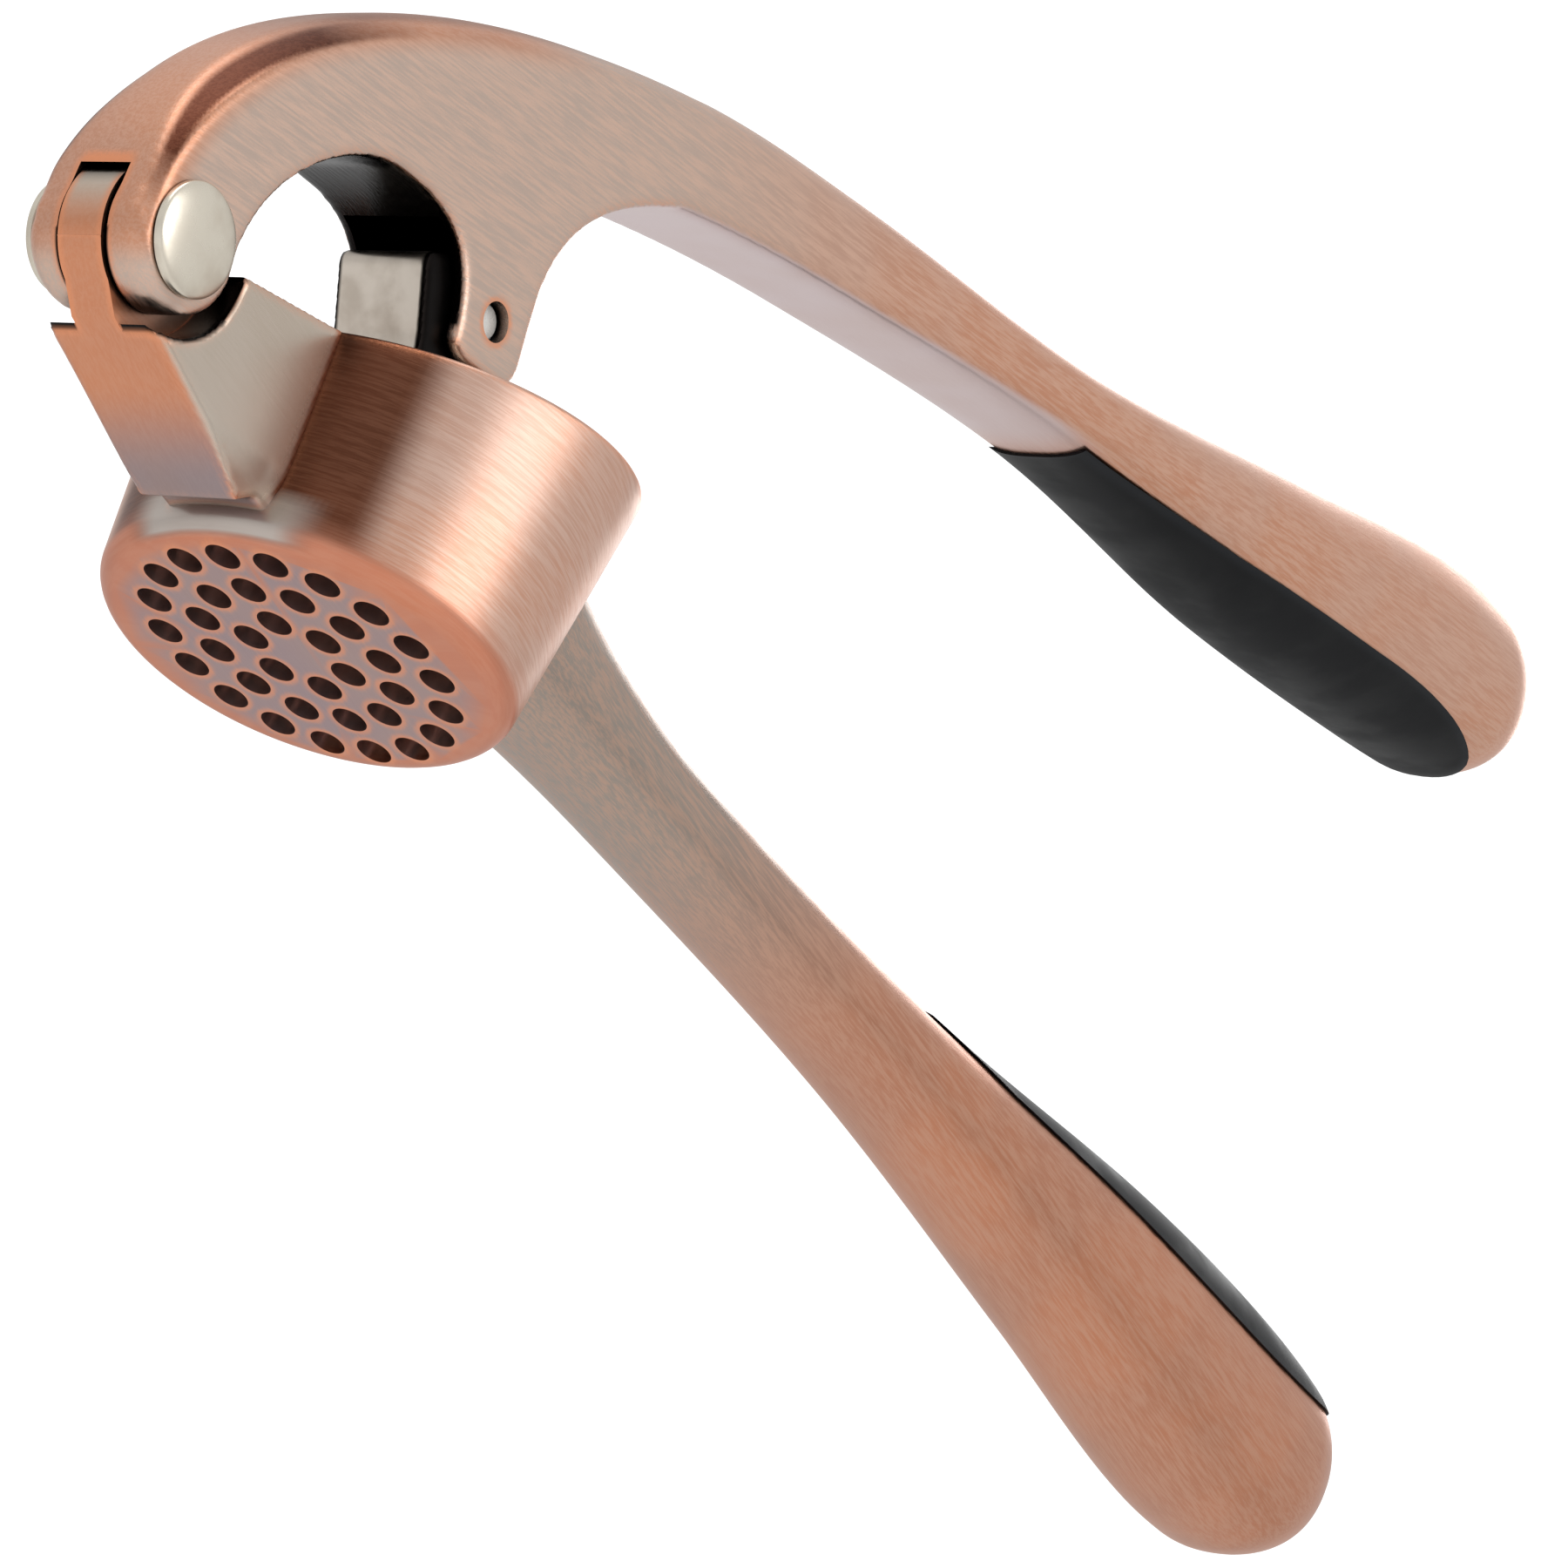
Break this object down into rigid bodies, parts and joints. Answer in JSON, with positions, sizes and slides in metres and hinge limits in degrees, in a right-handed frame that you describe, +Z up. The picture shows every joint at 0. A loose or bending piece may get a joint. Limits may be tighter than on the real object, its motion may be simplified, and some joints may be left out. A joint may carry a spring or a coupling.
{
  "type": "garlic press",
  "caption": "Hand garlic press: hinged copper-plated levers with soft grips, a flared oval hopper with a sieve base, and a swinging plunger.",
  "frame": {"origin": "middle of the flat sieve face under the hopper, on the hopper's axis", "axes": "+Z up the hopper's axis, +X from the hinge towards the handle ends, Y along the hinge axis; the press is mirror-symmetric about Y = 0 apart from its rivet"},
  "size_m": [0.2018, 0.037, 0.1094],
  "materials": {
    "copper_casting": "die casting plated in antique copper, brushed along the levers and round the hopper",
    "rivet_steel": "satin nickel, smooth domed rivet heads",
    "plunger_metal": "warm grey plated casting, satin",
    "grip_rubber": "fine matt soft rubber"
  },
  "bodies": {
    "lower": {"lower_lever": "copper_casting", "lower_grip": "grip_rubber"},
    "upper": {"upper_lever": "copper_casting", "upper_grip": "grip_rubber", "hinge_barrel": "rivet_steel", "hinge_stud": "rivet_steel", "plunger_pin": "rivet_steel"},
    "plunger": {"plunger": "plunger_metal"}
  },
  "joints": [
    {"name": "lever_hinge", "type": "hinge", "parent": "lower", "child": "upper", "pos_m": [-0.033, 0, 0.0102], "axis": [0, -1, 0], "range_deg": [-17, 60]},
    {"name": "plunger_swing", "type": "hinge", "parent": "upper", "child": "plunger", "pos_m": [-0.00349, 0, 0.0279], "axis": [0, -1, 0], "range_deg": [-17, 5]}
  ],
  "couplings": [
    {"joint": "plunger_swing", "follows": "lever_hinge", "ratio": -0.28}
  ]
}
